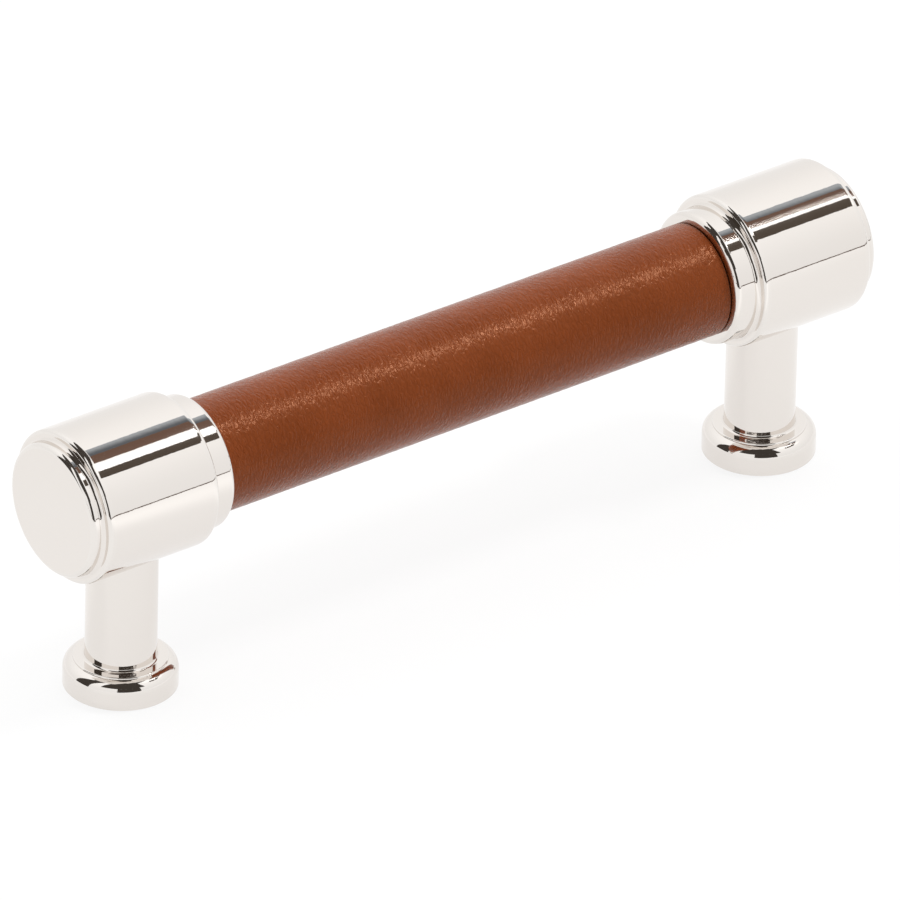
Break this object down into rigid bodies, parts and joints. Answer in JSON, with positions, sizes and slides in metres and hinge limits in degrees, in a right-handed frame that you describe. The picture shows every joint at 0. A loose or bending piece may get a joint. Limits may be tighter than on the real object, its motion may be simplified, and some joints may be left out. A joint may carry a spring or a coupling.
{
  "type": "cabinet pull",
  "caption": "Straight cabinet pull: a leather-wrapped bar between turned metal barrels, each on a short post with a round foot.",
  "frame": {"origin": "on the mounting plane, midway between the two screw holes", "axes": "+X along the bar, +Z out of the cabinet face, +Y completes the right-handed frame"},
  "size_m": [0.117, 0.0192, 0.0366],
  "materials": {
    "polished_metal": "polished nickel plate over brass, mirror bright and slightly warm",
    "leather": "saddle brown, satin, fine pebbled grain",
    "core_metal": "plain drawn bar",
    "stud_steel": "zinc plated"
  },
  "bodies": {
    "root": {"core_rod": "core_metal", "leather_sleeve": "leather", "left_barrel": "polished_metal", "right_barrel": "polished_metal", "left_post": "polished_metal", "right_post": "polished_metal", "left_post_stud": "stud_steel", "right_post_stud": "stud_steel"}
  },
  "joints": []
}
